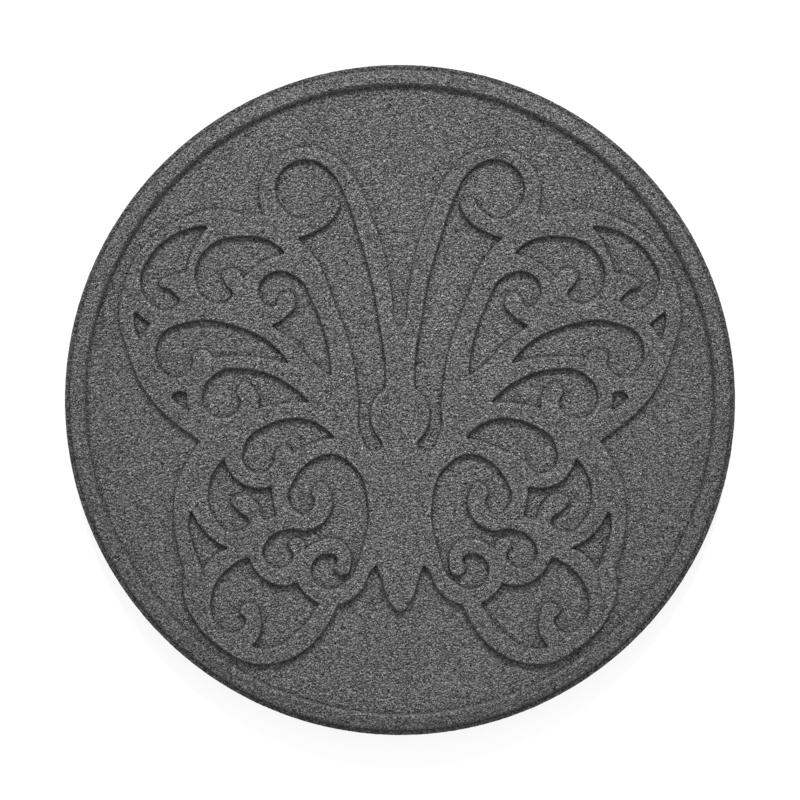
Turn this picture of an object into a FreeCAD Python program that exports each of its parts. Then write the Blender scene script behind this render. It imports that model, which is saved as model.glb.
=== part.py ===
"""Round garden stepping stone, moulded in one piece from bound rubber crumb.

Lengths are in millimetres. The stone lies on its flat underside with +Z up, and its origin is at
the middle of that underside. +Y points to the head of the butterfly that stands up from its face.
"""
import FreeCAD, Part
import math
import os

import Sketcher

NODE = "stepping_stone"

# A turn under this many radians counts as straight.
STRAIGHT = 1e-6

# Driving dimensions, one cell each.
SIZES = (
    ("stone_diameter", 457.0),
    ("stone_thickness", 19.0),
    ("side_run", 0.4),
    ("slab_bevel", 0.6),
    ("margin_width", 3.2),
    ("margin_drop", 1.4),
    ("rim_width", 11.6),
    ("rim_height", 3.6),
    ("rim_fall", 2.5),
    ("rim_bevel", 0.9),
    ("outer_run", 0.5),
    ("inner_run", 1.6),
    ("relief_height", 3.0),
    ("figure_clearance", 5.1),
)

# The butterfly's right half. An outline is a ring of runs. A run is one smooth curve that starts at
# its first point and ends at the first point of the next run, where the outline has a corner.

# Outer edge: antenna and its scroll, upper wing, two lobes of the lower wing, body.
FIGURE_EDGE = (
    ((0, 48.2), (2.4, 51.7), (5.3, 71.2), (10, 98.2), (19.3, 126.2), (31.5, 152.7), (47, 167.7), (68, 172.2),
     (86.2, 163.8), (95.2, 148.6), (96, 137.2)),
    ((93, 126.5), (103, 126.2), (124, 130.2), (146, 124.7), (163, 115.7), (178, 100.2), (188.5, 77.2),
     (191.5, 54.2), (186.5, 35.2), (177.3, 11.5), (163.7, -6.8), (150, -18.5)),
    ((136.4, -28.1), (143.2, -38.3), (153.2, -62.3), (154, -84.8)),
    ((147, -116.1), (147.7, -131.8), (139, -152.8), (122.8, -168.6), (102.3, -179.5), (81.8, -179.1),
     (61.4, -168.2), (50, -154.8)),
    ((42.5, -139.8), (33.6, -136.5), (24.7, -128.3), (19.9, -117.4)),
    ((16, -112.6), (13, -121.5), (7.7, -137.2), (2.9, -143.6)),
    ((0, -144.8),),
)

# Sunken cells between the bands.
CELL_EDGES = {
    "antenna_gap": (
        ((10, 8.2), (18.8, -2.2), (20.5, -10.3), (18.8, -19.2)),
        ((13.3, -27.4), (13.8, -33.8), (18, -34.8), (27, -21.8), (28, -0.8), (33, 33.2), (44.7, 67.2),
         (57.4, 96.7)),
        ((69.6, 110.2), (58, 114.2), (44.5, 124.7), (41.6, 135.5), (48, 138.5), (54.2, 130.7), (66, 123.5),
         (81, 132.2), (84.3, 147.7), (75.5, 160), (60, 163), (46.5, 154.2), (36.8, 136.7), (28, 111.2),
         (19.3, 80.7), (14.5, 53.2), (10.7, 29.2)),
    ),
    "upper_wing_tip": (
        ((131, 118.2), (152, 113.2), (170, 97.7), (176.5, 81.7), (169, 65.2), (158, 61.4)),
        ((150, 68.2), (156, 74.2), (164.3, 79), (157, 84.7)),
        ((146, 86.7), (143.5, 97.2), (137.8, 108.7)),
    ),
    "upper_wing_crown": (
        ((78.5, 99.7), (87, 107.2), (106, 111.2), (130.5, 103.7), (139.3, 85.7), (131.5, 68.5), (121, 66),
         (114.2, 72.2), (119.5, 79.2), (121.6, 85.7), (115.5, 89.9)),
        ((106.5, 82.7), (96, 92.7)),
    ),
    "upper_wing_root": (
        ((47, 16.7), (50.3, 40.7), (58.5, 63.7), (70.3, 83.2), (84.5, 87.2), (95.2, 78.7), (93.2, 66.7),
         (87, 63.5), (81.3, 71.6), (75, 73.6), (70.8, 67.2), (78, 56)),
        ((87.5, 50.7), (72, 39.5), (55, 22.2)),
    ),
    "upper_wing_middle": (
        ((76.3, 25.2), (84, 34.7), (110.3, 49.5), (143, 52.9), (163.2, 42.7), (164, 23.7), (152.5, 15.2),
         (142.5, 21.5), (140, 32.7), (133.5, 34.7)),
        ((127.5, 28.7), (104, 29.9)),
    ),
    "upper_wing_edge_chip": (
        ((180.5, 59.7), (180, 48.2)),
        ((177.5, 41.2),),
        ((170.5, 51.7),),
    ),
    "wing_joint_chip": (
        ((155.5, 1.6), (149, 5.5)),
        ((145.2, 4.2), (145.4, -1.3)),
        ((144, -6.8), (150, -3.3)),
    ),
    "upper_wing_heel": (
        ((62.2, -1.5), (74.5, 9.4), (102, 20.3), (122.8, 19), (134.4, 4.7), (130.3, -8.6),
         (120.7, -12.1), (108.8, -3.8), (111, 7.7), (106.5, 12.7), (99.6, 8.7)),
        ((96.2, -5.6), (79, -1.9)),
    ),
    "lower_wing_root": (
        ((45, -25.8), (61, -14.4), (88.3, -16.5), (105, -29.4), (104.8, -45.4), (94, -49.6), (86.5, -43.1),
         (84.2, -33.8), (78.4, -31.1)),
        ((73, -36.1), (61.4, -29.8)),
    ),
    "lower_wing_scrolls": (
        ((64.4, -101.1), (70, -93.8), (76, -97.8), (72.8, -106.8), (81.5, -114.4), (92.6, -107.3),
         (87.6, -92.8), (76, -88.4), (62, -89.1), (48.7, -79.8), (46.3, -65.6), (56, -56.1), (60.2, -62.3),
         (58.3, -70.8), (65.5, -77.8), (74.6, -71), (70.4, -52), (60.7, -41.8), (46.9, -37.3),
         (30.4, -46.8), (21.8, -72.4), (25.6, -100.4), (36.7, -123.6), (48.5, -128.8), (60.2, -117.3),
         (52, -105.4), (43.5, -107.3), (44.8, -116.3), (37.8, -119.8), (32.9, -109.8), (37.3, -98.3),
         (47, -93.8), (57.5, -97)),
    ),
    "lower_wing_crown": (
        ((120, -40.4), (130.3, -63.5), (127, -78.8), (114, -89.5), (103.2, -82.8), (110.5, -75.2),
         (115.4, -69.3), (108, -63.5), (98.2, -69.3)),
        ((92.8, -82),),
        ((84.2, -78.8), (86.8, -68.8)),
        ((87.6, -59.1), (96.8, -60.5), (108.5, -56.8)),
    ),
    "lower_wing_edge_chip": (
        ((142.2, -75.8), (133, -90.3)),
        ((117.4, -101.1), (128.2, -107.2)),
        ((134.3, -115.6), (140, -100.8), (143.7, -82.8)),
    ),
    "lower_wing_tip": (
        ((103, -107.5), (114.6, -113.3), (128.5, -135.8), (125, -151.8), (114, -158.4), (105.3, -151.8),
         (109, -142), (102.5, -137.8), (94.2, -150.8)),
        ((100.9, -167.8), (88, -168.8), (70.2, -157.8)),
        ((55.2, -138.8), (63, -133.8)),
        ((70, -124.8), (80, -126.8), (94, -121.3)),
    ),
}


def make_sheet(doc):
    """Spreadsheet of the driving dimensions."""
    sheet = doc.addObject("Spreadsheet::Sheet", "Sizes")
    for row, (alias, value) in enumerate(SIZES, start=1):
        sheet.set(f"A{row}", alias)
        sheet.set(f"B{row}", str(value))
        sheet.setAlias(f"B{row}", alias)
    doc.recompute()
    return sheet


def origin_plane(body, role):
    """One of the body's own origin planes."""
    return next(feature for feature in body.Origin.OriginFeatures if feature.Role == role)


def add_section(body):
    """Half section of the slab, drawn roughly and set to size by its dimensions.

    The slab has a side that leans in a little, up to a bevel. The rim stands on it, with the field inside
    and a flat margin outside, which lies lower. The rim's top falls outwards between two bevels.
    """
    sketch = body.newObject("Sketcher::SketchObject", "Section")
    sketch.AttachmentSupport = [(origin_plane(body, "XZ_Plane"), "")]
    sketch.MapMode = "FlatFace"
    rough = ((0, 0), (228, 0), (227, 13), (226, 14), (225, 14), (224, 15), (223, 16), (216, 19), (215, 18),
             (214, 15), (0, 15))
    points = [FreeCAD.Vector(x, z, 0) for x, z in rough]
    for start, end in zip(points, points[1:] + points[:1]):
        sketch.addGeometry(Part.LineSegment(start, end), False)
    count = len(points)
    (base, side, slab_bevel, margin, outer_wall, outer_bevel, rim, inner_bevel, inner_wall, field,
     axis) = range(count)
    for line in range(count):
        sketch.addConstraint(Sketcher.Constraint("Coincident", line, 2, (line + 1) % count, 1))
    sketch.addConstraint(Sketcher.Constraint("Coincident", base, 1, -1, 1))
    for line in (base, margin, field):
        sketch.addConstraint(Sketcher.Constraint("Horizontal", line))
    sketch.addConstraint(Sketcher.Constraint("Vertical", axis))
    dimensions = (
        ("DistanceX", (base, 1, side, 1), "Sizes.stone_diameter / 2"),
        ("DistanceX", (side, 2, side, 1), "Sizes.side_run"),
        ("DistanceX", (slab_bevel, 2, slab_bevel, 1), "Sizes.slab_bevel"),
        ("DistanceY", (slab_bevel, 1, slab_bevel, 2), "Sizes.slab_bevel"),
        ("DistanceX", (margin, 2, side, 1), "Sizes.margin_width"),
        ("DistanceY", (margin, 2, rim, 2), "Sizes.rim_height + Sizes.margin_drop"),
        ("DistanceX", (outer_wall, 2, outer_wall, 1), "Sizes.outer_run"),
        ("DistanceX", (outer_bevel, 2, outer_bevel, 1), "Sizes.rim_bevel"),
        ("DistanceY", (outer_bevel, 1, outer_bevel, 2), "Sizes.rim_bevel"),
        ("DistanceY", (rim, 1, rim, 2), "Sizes.rim_fall"),
        ("DistanceY", (base, 1, rim, 2), "Sizes.stone_thickness"),
        ("DistanceX", (inner_bevel, 2, inner_bevel, 1), "Sizes.rim_bevel"),
        ("DistanceY", (inner_bevel, 2, inner_bevel, 1), "Sizes.rim_bevel"),
        ("DistanceX", (inner_wall, 2, inner_wall, 1), "Sizes.inner_run"),
        ("DistanceX", (inner_wall, 2, margin, 2), "Sizes.rim_width"),
        ("DistanceY", (inner_wall, 2, rim, 2), "Sizes.rim_height"),
    )
    for kind, ends, size in dimensions:
        index = sketch.addConstraint(Sketcher.Constraint(kind, *ends, 1.0))
        sketch.setExpression(f"Constraints[{index}]", size)
    return sketch


def add_slab(body):
    """The round slab, turned from its section."""
    section = add_section(body)
    slab = body.newObject("PartDesign::Revolution", "Slab")
    slab.Profile = section
    slab.ReferenceAxis = (section, ["V_Axis"])
    slab.Angle = 360.0


def unit(vector):
    """The vector at length one."""
    return vector / vector.Length


def turn_between(direction, other):
    """Signed angle from one direction to the other, in radians."""
    return math.atan2(direction.x * other.y - direction.y * other.x, direction.dot(other))


def bend(start, tangent, end):
    """The arc from start to end that leaves start along a tangent, or the line if it is straight."""
    chord = end - start
    turn = turn_between(tangent, chord)
    if abs(turn) < STRAIGHT:
        return Part.LineSegment(start, end)
    bulge = math.tan(turn / 2) / 2
    middle = start + chord / 2 + FreeCAD.Vector(chord.y, -chord.x, 0) * bulge
    return Part.Arc(start, middle, end)


def run_tangents(points):
    """Unit tangent at each point of a run, of the circle through the point and its neighbours."""
    chords = [after - before for before, after in zip(points, points[1:])]
    inner = []
    for before, after in zip(chords, chords[1:]):
        inner.append(unit(unit(before) * after.Length + unit(after) * before.Length))
    first, last = unit(chords[0]), unit(chords[-1])
    if not inner:
        return [first, last]
    leaving = first * (2 * first.dot(inner[0])) - inner[0]
    arriving = last * (2 * last.dot(inner[-1])) - inner[-1]
    return [leaving, *inner, arriving]


def span_curves(start, leaving, end, arriving):
    """One arc from start to end where one meets both tangents, and otherwise two that join smoothly."""
    chord = end - start
    both = leaving + arriving
    if abs(turn_between(both, chord)) < STRAIGHT:
        return [bend(start, leaving, end)]
    along = chord.dot(both)
    spread = 2 * (1 - leaving.dot(arriving))
    if spread < STRAIGHT:
        reach = chord.dot(chord) / (2 * along)
    else:
        reach = (math.sqrt(along ** 2 + spread * chord.dot(chord)) - along) / spread
    joint = (start + end + (leaving - arriving) * reach) / 2
    return [bend(start, leaving, joint), bend(end, arriving * -1, joint)]


def smooth_run(points):
    """Tangent arcs through the points of a run."""
    tangents = run_tangents(points)
    spans = zip(points, tangents, points[1:], tangents[1:])
    return [curve for span in spans for curve in span_curves(*span)]


def outline_curves(runs, scale):
    """The curves of a closed outline."""
    drawn = [[FreeCAD.Vector(x, y, 0) * scale for x, y in run] for run in runs]
    curves = []
    for run, following in zip(drawn, drawn[1:] + drawn[:1]):
        curves += smooth_run(run + following[:1])
    return curves


def add_butterfly(body, sheet):
    """The raised butterfly: its right half, padded up from the field, and the mirror of that half."""
    field_radius = sheet.stone_diameter / 2 - sheet.margin_width - sheet.rim_width
    drawn_reach = max(math.hypot(x, y) for run in FIGURE_EDGE for x, y in run)
    scale = (field_radius - sheet.figure_clearance) / drawn_reach

    sketch = body.newObject("Sketcher::SketchObject", "HalfFigure")
    sketch.AttachmentSupport = [(origin_plane(body, "XY_Plane"), "")]
    sketch.MapMode = "FlatFace"
    sketch.setExpression("AttachmentOffset.Base.z", "Sizes.stone_thickness - Sizes.rim_height")
    for runs in (FIGURE_EDGE, *CELL_EDGES.values()):
        sketch.addGeometry(outline_curves(runs, scale), False)

    half = body.newObject("PartDesign::Pad", "HalfButterfly")
    half.Profile = sketch
    half.setExpression("Length", "Sizes.relief_height")

    whole = body.newObject("PartDesign::Mirrored", "Butterfly")
    whole.Originals = [half]
    whole.MirrorPlane = (origin_plane(body, "YZ_Plane"), [""])
    body.Tip = whole


def make_stone(doc, sheet):
    """The stone's one solid."""
    body = doc.addObject("PartDesign::Body", NODE)
    body.Label = NODE
    body.Placement = FreeCAD.Placement()
    add_slab(body)
    add_butterfly(body, sheet)
    doc.recompute()
    return body


def check(doc, bodies):
    """Stop before anything is written if a feature failed or a solid isn't sound."""
    for item in doc.Objects:
        if {"Invalid", "Error"} & set(item.State):
            raise RuntimeError(f"{item.Label} failed: {item.State}")
    for body in bodies:
        if body.Shape.isNull() or not body.Shape.isValid() or len(body.Shape.Solids) != 1:
            raise RuntimeError(f"{body.Label} isn't one sound solid")


def main():
    doc = FreeCAD.newDocument("garden_stepping_stone")
    sheet = make_sheet(doc)
    bodies = [make_stone(doc, sheet)]
    check(doc, bodies)
    os.makedirs("parts", exist_ok=True)
    for body in bodies:
        body.Shape.exportStep(f"parts/{body.Label}.step")


main()
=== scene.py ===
"""Looks of a round garden stepping stone, moulded in one piece from bound rubber crumb.

Lengths are in metres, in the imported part's own frame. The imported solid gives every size: its section
gives the rim and the side, and the edge of its raised level gives the butterfly. The piece built here
follows them with the soft edges and the crumbly skin of the moulding.
"""

import math

import bpy
import numpy as np
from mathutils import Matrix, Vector, geometry, kdtree, noise


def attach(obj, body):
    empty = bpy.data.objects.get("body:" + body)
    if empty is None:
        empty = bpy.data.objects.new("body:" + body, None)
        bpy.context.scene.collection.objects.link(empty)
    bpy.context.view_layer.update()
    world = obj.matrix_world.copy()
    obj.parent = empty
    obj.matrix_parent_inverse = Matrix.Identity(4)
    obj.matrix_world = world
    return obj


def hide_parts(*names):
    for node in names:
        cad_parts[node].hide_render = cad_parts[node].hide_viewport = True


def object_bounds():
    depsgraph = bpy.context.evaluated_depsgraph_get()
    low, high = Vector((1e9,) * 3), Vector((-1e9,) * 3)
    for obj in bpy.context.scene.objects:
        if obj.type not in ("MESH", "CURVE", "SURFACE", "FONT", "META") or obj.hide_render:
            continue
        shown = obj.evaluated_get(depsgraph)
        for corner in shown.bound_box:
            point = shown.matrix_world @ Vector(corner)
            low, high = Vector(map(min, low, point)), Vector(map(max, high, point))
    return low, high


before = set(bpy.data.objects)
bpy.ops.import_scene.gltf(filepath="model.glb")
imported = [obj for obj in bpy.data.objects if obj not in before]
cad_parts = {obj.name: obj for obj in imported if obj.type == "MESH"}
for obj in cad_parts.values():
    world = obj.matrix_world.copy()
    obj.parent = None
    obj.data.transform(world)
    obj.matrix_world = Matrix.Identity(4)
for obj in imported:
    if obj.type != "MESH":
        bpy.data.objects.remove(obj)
cad_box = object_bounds()

NODE = "stepping_stone"
MM = 0.001
SEED = 457

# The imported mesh: lengths that it is good to, and the upright share of a normal that makes a face level.
WELD = 0.001 * MM
SAME_RING = 0.02 * MM
LEVEL_FACING = 0.9999

# Softness of the moulding: rounding along the section and how far it reaches, how far a relief wall spreads
# outside and inside its outline, and the rounded shoulder above it, with its share of the relief's height.
SECTION_ROUNDING = 0.35 * MM
ROUNDING_REACH = 3 * SECTION_ROUNDING
WALL_FOOT = 0.25 * MM
WALL_TOP = 0.85 * MM
SHOULDER = 1.7 * MM
SHOULDER_SHARE = 0.12

# A turn of the outline past this many radians is a corner of the butterfly. The outline's direction is
# taken over this many fine steps to each side.
CORNER = 0.5
DIRECTION_STEPS = 2

# Spacing of the mesh: along the section and outline, along the rows beside the outline, round the rings, on
# the field and on the underside, which grows coarser inwards.
FINE_STEP = 0.1 * MM
ROW_SPACING = 1.6 * MM
RING_SPACING = 2.0 * MM
FIELD_SPACING = 1.95 * MM
UNDERSIDE_SPACING = 7.0 * MM
UNDERSIDE_GROWTH = 1.3

# Places of the rows beside the outline, positive on the figure, of the rings beside each corner of the
# section, and of the ring on the underside where the upper sheet ends.
ROW_OFFSETS = tuple(offset * MM for offset in (-1.0, -0.55, -0.2, 0.15, 0.5, 0.85, 1.5))
RING_OFFSETS = tuple(offset * MM for offset in (-0.55, 0.0, 0.55))
UNDERSIDE_LIP = 3.0 * MM

# A row's point stays if no part of the outline is nearer than this share of its offset. Points of a row
# further apart than the break aren't joined. Points of the field keep this far from the set ones, and are
# pushed out of line by this share of their spacing. Points closer than the last length are one point.
ROW_CLEARANCE = 0.93
ROW_BREAK = 2 * ROW_SPACING
FIELD_CLEARANCE = 0.72 * FIELD_SPACING
JITTER = 0.28
SHEET_WELD = WELD / 100

# Painted shade in creases: how far it reaches on the level side and the wall side of a crease, and how
# strong it is along the outer edge of the figure. How much darker the margin and side outside the rim are
# made, and how far in and how wide the painted highlight along the figure's edge is.
CREASE_OUT = 0.95 * MM
CREASE_UP = 0.6 * MM
OUTER_CREASE_SHADE = 0.78
MARGIN_DARKENING = 0.55
EDGE_INSET = 1.8 * MM
EDGE_WIDTH = 1.6 * MM

# Lumps of the crumb: the usual height of a small lump and the most that one has, the width of the open skin
# at the side, and the height and width of the larger lumps there, which fade out towards the ground.
LUMP = 0.04 * MM
LUMP_LIMIT = 2 * LUMP
SKIN_WIDTH = 3.0 * MM
SKIN_LUMP = 0.7 * MM
SKIN_LUMP_SIZE = 2.2 * MM

# Sizes in the crumb: its granules, the flecks of grey on them, fine grains and the spacing of pits, and how
# far and over which distance granules, flecks and pits are pushed out of line.
GRANULE = 1.6 * MM
FLECK = 0.8 * MM
FINE_GRAIN = 0.45 * MM
PIT_SPACING = 3.6 * MM
WARP_SIZE = 2.5 * MM
WARP_REACH = 0.9 * MM

# Heights in the crumb. The face cuts most granules away from their middle, so few are as high as this.
# Granules and flecks reach their foot at this share of their size from their middle.
GRANULE_HEIGHT = 1.4 * MM
FLECK_HEIGHT = 0.1 * MM
PIT_DEPTH = 0.25 * MM
DOME_REACH = 0.8

# The crumb's grey, and the levels that multiply it: on flecks, on the share of them that are odd ones, pale
# or dark, as painted shade in gaps, on fine grains, as painted shade in pits and creases and as darkening of
# the margin, and as a painted highlight on edges.
CRUMB_GREY = 0.214
FLECK_LEVELS = (0.25, 1.9)
ODD_FLECKS = 0.13
PALE_LEVEL = 1.6
DARK_LEVEL = 0.15
GAP_SHADE_LEVEL = 0.35
GRAIN_LEVELS = (0.6, 1.4)
PIT_SHADE_LEVEL = 0.15
CREASE_SHADE_LEVEL = 0.35
EDGE_HIGHLIGHT_LEVEL = 1.15

# Gaps and pits: the width of a gap, as a share of the fleck's size, and the largest pit's radius and the
# width of a pit's soft edge to each side, as shares of the pits' spacing. This share of pits is missing.
GAP_WIDTH = 0.16
PIT_RADIUS = 0.22
PIT_INSIDE = PIT_RADIUS / 5
PIT_OUTSIDE = PIT_RADIUS / 3
PITS_MISSING = 0.3

# Noise in the crumb: the part of its range that the fine grains take up, and how rough it is.
GRAIN_RANGE = (0.25, 0.75)
GRAIN_DETAIL = 2.0
GRAIN_ROUGHNESS = 0.6
WARP_DETAIL = 1.0

# Surface of the rubber.
CRUMB_ROUGHNESS = 0.88
CRUMB_SHINE = 0.25

# The photo's frame at the stone, a long lens that looks straight down, and how many times nearer and further
# than the stone things still show.
FRAME_WIDTH = 545.6 * MM
LENS_MM = 1000.0
SENSOR_MM = 36.0
CLIP_RATIO = 10

# Light: two softboxes with grids stand beyond the butterfly's head, one on each side, and each is aimed at
# the wing on its own side. With the surround they make a plain level of about 1 at the stone's middle.
KEY_WATTS = 0.385
KEY_ELEVATION = math.radians(32)
KEY_AZIMUTH = math.radians(14)
KEY_DISTANCE = 2.0
KEY_SIZE = 0.2
KEY_SPREAD = math.radians(21)
KEY_AIM = (0.13, 0.04)
FILL_LEVEL = 0.5
SEEN_LEVEL = 1.0
WHITE = (1.0, 1.0, 1.0, 1.0)

FLOOR_SIZE = 8.0
FLOOR_COLOUR = (0.3, 0.3, 0.3, 1.0)
FLOOR_GLOW = 0.84


def packed_mesh(node):
    """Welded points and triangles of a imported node."""
    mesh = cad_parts[node].data
    places = np.empty(len(mesh.vertices) * 3)
    mesh.vertices.foreach_get("co", places)
    corners = np.empty(len(mesh.loops), int)
    mesh.loops.foreach_get("vertex_index", corners)
    keys = np.round(places.reshape(-1, 3) / WELD).astype(int)
    unique, index = np.unique(keys, axis=0, return_inverse=True)
    return unique * WELD, index.reshape(-1)[corners].reshape(-1, 3)


def level_triangles(points, triangles):
    """The triangles that face straight up, and the height of each."""
    a, b, c = (points[triangles[:, k]] for k in range(3))
    normal = np.cross(b - a, c - a)
    level = normal[:, 2] > LEVEL_FACING * np.linalg.norm(normal, axis=1)
    kept = triangles[level]
    return kept, np.round(points[kept[:, 0], 2] / WELD) * WELD


def boundary_loops(triangles):
    """Rings of point numbers round a set of triangles, with the triangles on their left."""
    edges = np.concatenate([triangles[:, (k, (k + 1) % 3)] for k in range(3)])
    present = set(map(tuple, edges))
    following = {start: end for start, end in present if (end, start) not in present}
    loops = []
    while following:
        start, end = following.popitem()
        loop = [start]
        while end != start:
            loop.append(end)
            end = following.pop(end)
        loops.append(loop)
    return loops


def unit_rows(vectors):
    """Each row at length one."""
    return vectors / np.linalg.norm(vectors, axis=-1, keepdims=True)


def smooth_loop(corners):
    """Fine points along a closed outline: a curve through its corners that stays sharp at sharp turns."""
    leaving = np.roll(corners, -1, axis=0) - corners
    length = np.linalg.norm(leaving, axis=1)[:, None]
    ahead = leaving / length
    behind = np.roll(ahead, 1, axis=0)
    past = np.roll(length, 1, axis=0)
    middle = unit_rows(behind * length + ahead * past)
    turn = np.arccos(np.clip((ahead * behind).sum(axis=1), -1, 1))[:, None]
    start_tangent = np.where(turn > CORNER, ahead, middle)
    end_tangent = np.roll(np.where(turn > CORNER, behind, middle), -1, axis=0)
    pieces = []
    for k, end in enumerate(np.roll(corners, -1, axis=0)):
        count = max(1, round(float(length[k, 0]) / FINE_STEP))
        t = (np.arange(count) / count)[:, None]
        pieces.append(
            corners[k] * (2 * t ** 3 - 3 * t ** 2 + 1)
            + end * (3 * t ** 2 - 2 * t ** 3)
            + start_tangent[k] * length[k] * (t ** 3 - 2 * t ** 2 + t)
            + end_tangent[k] * length[k] * (t ** 3 - t ** 2)
        )
    return np.concatenate(pieces)


def inward_normals(loop):
    """Normals of a fine closed outline, to its left, where the relief stands."""
    along = unit_rows(np.roll(loop, -DIRECTION_STEPS, axis=0) - np.roll(loop, DIRECTION_STEPS, axis=0))
    return np.stack([-along[:, 1], along[:, 0]], axis=1)


def point_tree(points):
    """Tree for the nearest of some flat points."""
    tree = kdtree.KDTree(len(points))
    for index, (x, y) in enumerate(points):
        tree.insert((x, y, 0.0), index)
    tree.balance()
    return tree


def nearest(tree, points):
    """Number and distance of the tree's point nearest to each flat point."""
    found = [tree.find((x, y, 0.0))[1:] for x, y in points]
    numbers, distances = zip(*found)
    return np.array(numbers), np.array(distances)


def encloses(loop):
    """Whether a ring has its figure inside, and isn't the edge of a hole in it."""
    x, y = loop.T
    return (x * np.roll(y, -1) - y * np.roll(x, -1)).sum() > 0


class Relief:
    """The butterfly's outline, as a distance that is positive where the figure stands up."""

    def __init__(self, loops):
        self.loops = loops
        self.points = np.concatenate(loops)
        # Painted shade in the creases, weaker along the figure's outer edge than round its holes.
        creases = [OUTER_CREASE_SHADE if encloses(loop) else 1.0 for loop in loops]
        self.creases = np.repeat(creases, [len(loop) for loop in loops])
        self.normals = np.concatenate([inward_normals(loop) for loop in loops])
        self.tree = point_tree(self.points)

    def depth(self, points):
        """Signed distance from the outline, and how strong the painted shade in the crease there is, from 0
        to 1.
        """
        number, distance = nearest(self.tree, points)
        side = ((points - self.points[number]) * self.normals[number]).sum(axis=1)
        return np.where(side < 0, -distance, distance), self.creases[number]

    def rise(self, depth):
        """Share of the relief's height, from 0 on the field to 1 on the figure."""
        wall = np.clip((depth + WALL_FOOT) / (WALL_FOOT + WALL_TOP), 0, 1)
        shoulder = np.clip(depth / SHOULDER, 0, 1)
        steep = wall * wall * (3 - 2 * wall)
        return steep * (1 - SHOULDER_SHARE) + shoulder * (2 - shoulder) * SHOULDER_SHARE

    def rows(self):
        """Points in rows beside the outline, and the edges that join them along each row."""
        places, edges, count = [], [], 0
        for loop in self.loops:
            stations = max(3, round(len(loop) * FINE_STEP / ROW_SPACING))
            chosen = np.linspace(0, len(loop), stations, endpoint=False).astype(int)
            normal = inward_normals(loop)[chosen]
            for offset in ROW_OFFSETS:
                row = loop[chosen] + normal * offset
                _, distance = nearest(self.tree, row)
                kept = distance > abs(offset) * ROW_CLEARANCE - FINE_STEP / 2
                number = np.full(stations, -1)
                number[kept] = count + np.arange(kept.sum())
                places.append(row[kept])
                count += int(kept.sum())
                after = np.roll(number, -1)
                gap = np.linalg.norm(np.roll(row, -1, axis=0) - row, axis=1)
                joined = (number >= 0) & (after >= 0) & (gap < ROW_BREAK)
                edges += list(zip(number[joined].tolist(), after[joined].tolist()))
        return np.concatenate(places), edges


class Section:
    """The stone's half section, walked outwards from the middle of the field and round to the underside."""

    def __init__(self, points, figure_reach, field_height):
        radius = np.hypot(points[:, 0], points[:, 1])
        outside = np.stack([radius, points[:, 2]], axis=1)[radius > figure_reach + SAME_RING]
        rings = np.unique(np.round(outside / SAME_RING).astype(int), axis=0) * SAME_RING
        elevation = np.arctan2(rings[:, 1], rings[:, 0] - rings[:, 0].min())
        rings = rings[np.argsort(-elevation)]
        self.corners = np.concatenate([[[0, field_height]], rings, [[0, 0]]])
        lengths = np.linalg.norm(np.diff(self.corners, axis=0), axis=1)
        self.marks = np.concatenate([[0], np.cumsum(lengths)])
        self.walk = np.arange(0, self.marks[-1], FINE_STEP)
        self.soft = self.rounded()

    def rounded(self):
        """The section's fine points with its corners rounded, and with both its ends left as they are."""
        exact = np.stack([np.interp(self.walk, self.marks, self.corners[:, k]) for k in range(2)], axis=1)
        window = np.arange(-ROUNDING_REACH, ROUNDING_REACH, FINE_STEP)
        weight = np.exp(-0.5 * (window / SECTION_ROUNDING) ** 2)
        weight /= weight.sum()
        half = len(weight) // 2
        padded = np.concatenate([exact[:half], exact, exact[-half:]])
        middle_part = slice(2 * half, -2 * half)
        soft = exact.copy()
        for k in range(2):
            smoothed = np.convolve(padded[:, k], weight, "same")[half:-half]
            soft[middle_part, k] = smoothed[middle_part]
        return soft

    def at(self, walked):
        """Radius and height at distances along the section."""
        return [np.interp(walked, self.walk, self.soft[:, k]) for k in range(2)]

    def lip(self):
        """Distance along the section to the ring on the underside where the upper sheet ends."""
        return self.marks[-2] + UNDERSIDE_LIP

    def turns(self):
        """Angle that the section turns by at each corner, positive where it turns up."""
        steps = np.diff(self.corners, axis=0)
        before, after = steps[:-1], steps[1:]
        cross = before[:, 0] * after[:, 1] - before[:, 1] * after[:, 0]
        return np.arctan2(cross, (before * after).sum(axis=1))

    def creases(self, walked):
        """How much painted shade of a crease points along the section get, and how much darker they are
        outward from the rim's outer foot, from 0 to 1.
        """
        marks, turns = self.marks[1:-1], self.turns()
        # Darker outward from the rim's outer foot, over the margin and the side.
        last_foot = np.flatnonzero(turns > 0)[-1]
        margin = marks[last_foot:last_foot + 2]
        found = np.interp(walked, margin, (0, MARGIN_DARKENING))
        # Painted shade in the crease at each corner where the section turns up.
        for mark, turn in zip(marks, turns):
            if turn > 0:
                found = np.maximum(found, math.sin(turn) * hill(walked - mark, CREASE_OUT))
        return found


def ring_edges(count, first=0):
    """Edges that join points of following numbers into a ring."""
    return [(first + k, first + (k + 1) % count) for k in range(count)]


def ring_points(radius, spacing, phase):
    """Points evenly round a circle."""
    count = round(2 * math.pi * radius / spacing)
    angle = (np.arange(count) + phase) * (2 * math.pi / count)
    return np.stack([np.cos(angle), np.sin(angle)], axis=1) * radius


def scattered(reach, spacing, rng):
    """Points of a jittered triangular grid over a disc."""
    row_height = spacing * math.sqrt(3) / 2
    rows = np.arange(-math.ceil(reach / row_height), math.ceil(reach / row_height) + 1)
    columns = np.arange(-math.ceil(reach / spacing), math.ceil(reach / spacing) + 1)
    x, y = np.meshgrid(columns, rows)
    points = np.stack([(x + 0.5 * (y % 2)) * spacing, y * row_height], axis=-1).reshape(-1, 2)
    points += rng.uniform(-JITTER, JITTER, points.shape) * spacing
    return points[np.hypot(points[:, 0], points[:, 1]) < reach]


def triangulate(places, edges):
    """Points and triangles of a constrained flat triangulation."""
    found = geometry.delaunay_2d_cdt([Vector(p) for p in places], edges, [], 0, SHEET_WELD)
    return np.array([tuple(p) for p in found[0]]), np.array(found[2])


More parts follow.
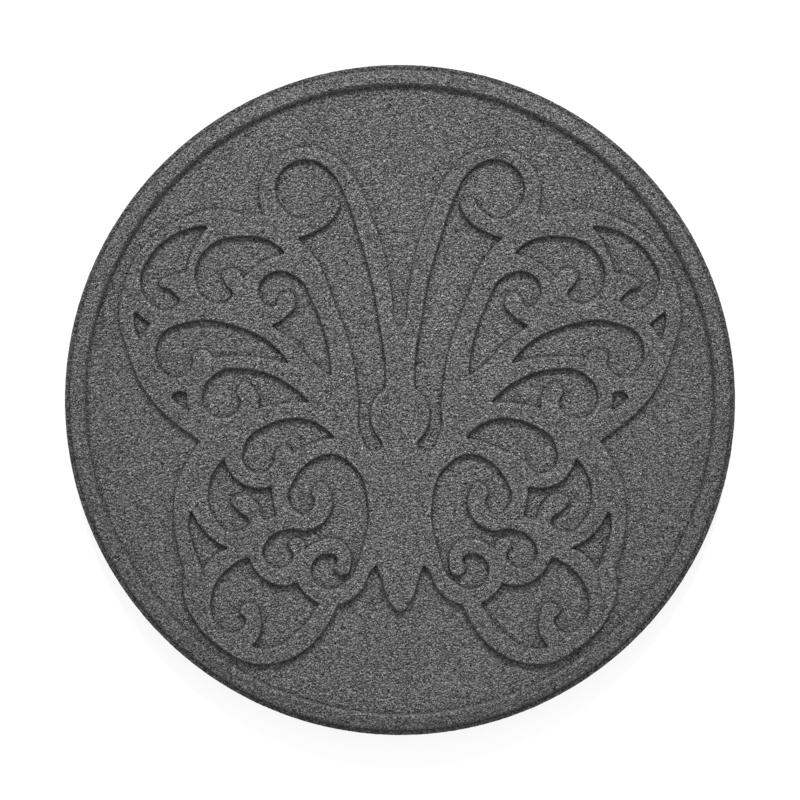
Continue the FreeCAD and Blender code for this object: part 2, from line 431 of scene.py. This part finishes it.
def upper_sheet(relief, section, rng):
    """Flat triangulation of the face, rim and side, as if the side were folded out flat."""
    places, edges = relief.rows()
    groups, count = [places], len(places)
    rings = [mark + offset for mark in section.marks[1:-1] for offset in RING_OFFSETS]
    for walked in [*rings, section.lip()]:
        ring = ring_points(walked, RING_SPACING, rng.uniform())
        groups.append(ring)
        edges += ring_edges(len(ring), count)
        count += len(ring)
    set_places = np.concatenate(groups)
    fill = scattered(section.lip() - FIELD_SPACING / 2, FIELD_SPACING, rng)
    _, gap = nearest(point_tree(set_places), fill)
    return triangulate(np.concatenate([set_places, fill[gap > FIELD_CLEARANCE]]), edges)


def lower_sheet(rim, rng):
    """Flat triangulation of the underside within a ring of points, coarser towards its middle."""
    groups, spacing = [rim], RING_SPACING
    radius = np.hypot(*rim[0])
    while True:
        spacing = min(spacing * UNDERSIDE_GROWTH, UNDERSIDE_SPACING)
        radius -= spacing * math.sqrt(3) / 2
        if radius < spacing:
            break
        groups.append(ring_points(radius, spacing, rng.uniform()))
    return triangulate(np.concatenate(groups), ring_edges(len(rim)))


def hill(distance, width):
    """1 at no distance, falling to nothing over about twice the width."""
    return np.exp(-(distance / width) ** 2)


def raise_sheet(flat, relief, section, field_height, relief_height):
    """Places in space of the upper sheet's points, with the painted shade of creases and darker margin on
    each, and the painted highlight of edges.
    """
    walked = np.hypot(flat[:, 0], flat[:, 1])
    radius, height = section.at(walked)
    places = np.empty((len(flat), 3))
    places[:, :2] = flat * (radius / np.maximum(walked, WELD))[:, None]
    places[:, 2] = height
    inner = walked < section.marks[1] - SECTION_ROUNDING
    depth, relief_crease = relief.depth(flat[inner])
    places[inner, :2] = flat[inner]
    places[inner, 2] += relief.rise(depth) * (relief_height - field_height)

    crease, edge = section.creases(walked), np.zeros(len(flat))
    # Painted shade in the crease at the foot of each relief wall, wider on the level side than up the wall.
    past_foot = depth + WALL_FOOT / 2
    foot = relief_crease * hill(past_foot, np.where(past_foot < 0, CREASE_OUT, CREASE_UP))
    crease[inner] = np.maximum(crease[inner], foot)
    # A painted highlight in a band just inside the figure's edge.
    edge[inner] = hill(depth - EDGE_INSET, EDGE_WIDTH)
    return places, crease, edge


def stone_mesh(rng):
    """The stone's surface as one closed mesh."""
    points, triangles = packed_mesh(NODE)
    level, heights = level_triangles(points, triangles)
    _, field_height, relief_height = np.unique(heights)
    loops = boundary_loops(level[heights == relief_height])
    relief = Relief([smooth_loop(points[loop, :2]) for loop in loops])
    section = Section(points, np.hypot(*relief.points.T).max(), field_height)

    flat, faces = upper_sheet(relief, section, rng)
    places, crease, edge = raise_sheet(flat, relief, section, field_height, relief_height)
    on_lip = np.flatnonzero(np.abs(np.hypot(flat[:, 0], flat[:, 1]) - section.lip()) < SAME_RING)
    on_lip = on_lip[np.argsort(np.arctan2(flat[on_lip, 1], flat[on_lip, 0]))]
    under, under_faces = lower_sheet(places[on_lip, :2], rng)
    lower = np.column_stack([under, np.zeros(len(under))])
    number = np.concatenate([on_lip, len(places) + np.arange(len(under) - len(on_lip))])
    all_faces = np.concatenate([faces, number[under_faces][:, ::-1]])
    all_places = np.concatenate([places, lower[len(on_lip):]])

    mesh = bpy.data.meshes.new("moulded_stone")
    mesh.from_pydata(all_places.tolist(), [], all_faces.tolist())
    mesh.validate()
    mesh.polygons.foreach_set("use_smooth", np.ones(len(mesh.polygons), bool))
    for name, values in (("crease", crease), ("edge", edge)):
        attribute = mesh.attributes.new(name, "FLOAT", "POINT")
        whole = np.concatenate([values, np.zeros(len(all_places) - len(values))])
        attribute.data.foreach_set("value", whole.astype(np.float32))
    mesh.update()
    return mesh


def add_lumps(mesh, rng):
    """Push the points in and out by the height of the crumb's lumps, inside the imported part's box."""
    count = len(mesh.vertices)
    places = np.empty(count * 3)
    normals = np.empty(count * 3)
    mesh.vertices.foreach_get("co", places)
    mesh.vertex_normals.foreach_get("vector", normals)
    places = places.reshape(-1, 3)
    lumps = np.clip(rng.normal(0, LUMP, count), -LUMP_LIMIT, LUMP_LIMIT)
    low, high = (np.array(corner) for corner in cad_box)
    reach = min(*high[:2], *-low[:2])
    outer = np.flatnonzero(np.hypot(places[:, 0], places[:, 1]) > reach - SKIN_WIDTH)
    skin = np.array([noise.noise(Vector(place) / SKIN_LUMP_SIZE) for place in places[outer]])
    lumps[outer] += SKIN_LUMP * skin * np.clip(places[outer, 2] / SKIN_WIDTH, 0, 1)
    places += normals.reshape(-1, 3) * lumps[:, None]
    places[:, 2] = np.clip(places[:, 2], low[2], high[2])
    radius = np.hypot(places[:, 0], places[:, 1])
    places[:, :2] *= np.minimum(1, reach / np.maximum(radius, WELD))[:, None]
    mesh.vertices.foreach_set("co", places.ravel())
    mesh.update()


class Nodes:
    """Short calls that add nodes to a material or the world and join them."""

    def __init__(self, tree):
        self.tree = tree
        tree.nodes.clear()

    def add(self, kind, settings=(), **inputs):
        """A node with its settings, and its inputs by name, as values or as other nodes' outputs."""
        node = self.tree.nodes.new(kind)
        for name, value in dict(settings).items():
            setattr(node, name, value)
        for name, value in inputs.items():
            self.feed(node.inputs[name.replace("_", " ")], value)
        return node

    def feed(self, socket, value):
        """A value, or another node's output, into a socket."""
        if isinstance(value, bpy.types.NodeSocket):
            self.tree.links.new(value, socket)
        else:
            socket.default_value = value

    def result(self, kind, operation, values):
        """The result of a node that works out one operation on values in order."""
        node = self.add(kind, {"operation": operation})
        for socket, value in zip(node.inputs, values):
            self.feed(socket, value)
        return node.outputs[0]

    def maths(self, operation, *values):
        """The result of an operation on numbers."""
        return self.result("ShaderNodeMath", operation, values)

    def vectors(self, operation, *values):
        """The result of an operation on vectors."""
        return self.result("ShaderNodeVectorMath", operation, values)

    def attribute(self, name):
        """A number stored at the mesh's points."""
        return self.add("ShaderNodeAttribute", {"attribute_name": name}).outputs["Fac"]

    def cells(self, place, size, feature="F1"):
        """Outputs of a pattern of uneven cells of about one size."""
        return self.add("ShaderNodeTexVoronoi", {"feature": feature}, Vector=place, Scale=1 / size).outputs

    def clouds(self, place, size, **inputs):
        """Outputs of a soft noise with blotches of about one size."""
        return self.add("ShaderNodeTexNoise", Vector=place, Scale=1 / size, **inputs).outputs

    def channels(self, colour):
        """The red, green and blue of a colour."""
        return self.add("ShaderNodeSeparateColor", Color=colour).outputs

    def spread(self, value, low, high, to_low, to_high, shape="LINEAR"):
        """A value taken from one range to another and held inside it."""
        node = self.add(
            "ShaderNodeMapRange", {"interpolation_type": shape}, Value=value, From_Min=low,
            From_Max=high, To_Min=to_low, To_Max=to_high)
        return node.outputs["Result"]

    def dome(self, distance):
        """1 in the middle of a cell, falling in a smooth round to 0 at its foot."""
        return self.spread(distance, 0.0, DOME_REACH, 1.0, 0.0, "SMOOTHSTEP")


def warped_places(nodes, place):
    """Places pushed about a little, so that granules come out uneven."""
    warp = nodes.clouds(place, WARP_SIZE, Detail=WARP_DETAIL)
    centred = nodes.vectors("SUBTRACT", warp["Color"], (0.5, 0.5, 0.5))
    return nodes.vectors("MULTIPLY_ADD", centred, (WARP_REACH,) * 3, place)


def outside_pits(nodes, place):
    """0 in a pit and 1 outside it, with pits of many sizes."""
    pit = nodes.cells(place, PIT_SPACING)
    chance = nodes.channels(pit["Color"])["Green"]
    radius = nodes.spread(chance, PITS_MISSING, 1.0, 0.0, PIT_RADIUS)
    past_pit = nodes.maths("SUBTRACT", pit["Distance"], radius)
    return nodes.spread(past_pit, -PIT_INSIDE, PIT_OUTSIDE, 0.0, 1.0)


def crumb_material():
    """Bound rubber crumb: rounded granules with flecks of several greys, and painted shade in gaps and pits.
    """
    material = bpy.data.materials.new("rubber_crumb")
    material.use_nodes = True
    nodes = Nodes(material.node_tree)
    place = nodes.add("ShaderNodeTexCoord").outputs["Object"]
    warped = warped_places(nodes, place)
    granule = nodes.cells(warped, GRANULE)
    fleck = nodes.cells(warped, FLECK)
    shades = nodes.channels(fleck["Color"])
    gap = nodes.cells(warped, FLECK, "DISTANCE_TO_EDGE")["Distance"]
    grain = nodes.clouds(place, FINE_GRAIN, Detail=GRAIN_DETAIL, Roughness=GRAIN_ROUGHNESS)["Fac"]
    off_pit = outside_pits(nodes, warped)

    levels = (
        nodes.spread(shades["Red"], 0.0, 1.0, *FLECK_LEVELS),
        nodes.spread(shades["Green"], 1 - ODD_FLECKS, 1.0, 1.0, PALE_LEVEL, "STEPPED"),
        nodes.spread(shades["Blue"], 1 - ODD_FLECKS, 1.0, 1.0, DARK_LEVEL, "STEPPED"),
        # Painted shade in the gaps between flecks.
        nodes.spread(gap, 0.0, GAP_WIDTH, GAP_SHADE_LEVEL, 1.0),
        nodes.spread(grain, *GRAIN_RANGE, *GRAIN_LEVELS),
        # Painted shade in pits.
        nodes.spread(off_pit, 0.0, 1.0, PIT_SHADE_LEVEL, 1.0),
        # Painted shade in creases, which also darkens the margin and side outside the rim.
        nodes.spread(nodes.attribute("crease"), 0.0, 1.0, 1.0, CREASE_SHADE_LEVEL),
        # Painted highlight along the figure's edges.
        nodes.spread(nodes.attribute("edge"), 0.0, 1.0, 1.0, EDGE_HIGHLIGHT_LEVEL),
    )
    grey = CRUMB_GREY
    for level in levels:
        grey = nodes.maths("MULTIPLY", level, grey)
    colour = nodes.add("ShaderNodeCombineColor", Red=grey, Green=grey, Blue=grey).outputs["Color"]

    height = nodes.maths("MULTIPLY", nodes.dome(granule["Distance"]), GRANULE_HEIGHT)
    height = nodes.maths("MULTIPLY_ADD", nodes.dome(fleck["Distance"]), FLECK_HEIGHT, height)
    height = nodes.maths("MULTIPLY_ADD", off_pit, PIT_DEPTH, height)
    bump = nodes.add("ShaderNodeBump", Strength=1.0, Distance=1.0, Height=height)
    shader = nodes.add("ShaderNodeBsdfPrincipled", Base_Color=colour, Roughness=CRUMB_ROUGHNESS,
                       Specular_IOR_Level=CRUMB_SHINE, Normal=bump.outputs["Normal"])
    nodes.add("ShaderNodeOutputMaterial", Surface=shader.outputs["BSDF"])
    return material


def seen_directly(nodes):
    """1 for rays from the camera and for mirror and glass rays, 0 for rays that carry light about."""
    path = nodes.add("ShaderNodeLightPath").outputs
    either = nodes.maths("MAXIMUM", path["Is Camera Ray"], path["Is Glossy Ray"])
    return nodes.maths("MAXIMUM", either, path["Is Transmission Ray"])


def floor_material():
    """Pale floor that looks white and keeps a faint shadow."""
    material = bpy.data.materials.new("pale_floor")
    material.use_nodes = True
    nodes = Nodes(material.node_tree)
    matte = nodes.add("ShaderNodeBsdfDiffuse", Color=FLOOR_COLOUR)
    glow = nodes.add("ShaderNodeEmission", Strength=nodes.maths("MULTIPLY", seen_directly(nodes), FLOOR_GLOW))
    both = nodes.add("ShaderNodeAddShader")
    nodes.feed(both.inputs[0], matte.outputs["BSDF"])
    nodes.feed(both.inputs[1], glow.outputs["Emission"])
    nodes.add("ShaderNodeOutputMaterial", Surface=both.outputs["Shader"])
    return material


def add_floor():
    """The level floor under the stone."""
    half = FLOOR_SIZE / 2
    corners = [(-half, -half, 0), (half, -half, 0), (half, half, 0), (-half, half, 0)]
    mesh = bpy.data.meshes.new("floor")
    mesh.from_pydata(corners, [], [(0, 1, 2, 3)])
    mesh.materials.append(floor_material())
    floor = bpy.data.objects.new("floor", mesh)
    bpy.context.scene.collection.objects.link(floor)


def add_softbox(name, side):
    """One softbox beyond the butterfly's head, aimed at the wing on its side."""
    lamp = bpy.data.lights.new(name, "AREA")
    lamp.shape = "DISK"
    lamp.size = KEY_SIZE
    lamp.spread = KEY_SPREAD
    lamp.energy = KEY_WATTS
    softbox = bpy.data.objects.new(name, lamp)
    level = math.cos(KEY_ELEVATION)
    direction = Vector((
        side * level * math.sin(KEY_AZIMUTH), level * math.cos(KEY_AZIMUTH), math.sin(KEY_ELEVATION)))
    softbox.location = Vector((side * KEY_AIM[0], KEY_AIM[1], 0)) + direction * KEY_DISTANCE
    softbox.rotation_euler = direction.to_track_quat("Z", "Y").to_euler()
    bpy.context.scene.collection.objects.link(softbox)


def add_light():
    """Two softboxes and an even surround, which itself looks white."""
    add_softbox("right_softbox", 1)
    add_softbox("left_softbox", -1)
    world = bpy.data.worlds.new("surround")
    world.use_nodes = True
    bpy.context.scene.world = world
    nodes = Nodes(world.node_tree)
    strength = nodes.spread(seen_directly(nodes), 0.0, 1.0, FILL_LEVEL, SEEN_LEVEL)
    surround = nodes.add("ShaderNodeBackground", Color=WHITE, Strength=strength)
    nodes.add("ShaderNodeOutputWorld", Surface=surround.outputs["Background"])


def add_camera():
    """The photo's view, straight down with the butterfly's head at the top."""
    camera = bpy.data.cameras.new("camera")
    camera.lens = LENS_MM
    camera.sensor_width = SENSOR_MM
    distance = FRAME_WIDTH * LENS_MM / SENSOR_MM
    camera.clip_start = distance / CLIP_RATIO
    camera.clip_end = distance * CLIP_RATIO
    holder = bpy.data.objects.new("camera", camera)
    holder.location = (0, 0, distance)
    bpy.context.scene.collection.objects.link(holder)
    bpy.context.scene.camera = holder


def add_stone():
    """The whole stone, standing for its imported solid."""
    rng = np.random.default_rng(SEED)
    mesh = stone_mesh(rng)
    add_lumps(mesh, rng)
    mesh.materials.append(crumb_material())
    stone = bpy.data.objects.new("moulded_stone", mesh)
    bpy.context.scene.collection.objects.link(stone)
    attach(stone, "root")
    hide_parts(NODE)


add_stone()
add_floor()
add_light()
add_camera()
bpy.context.scene.view_settings.view_transform = "Standard"
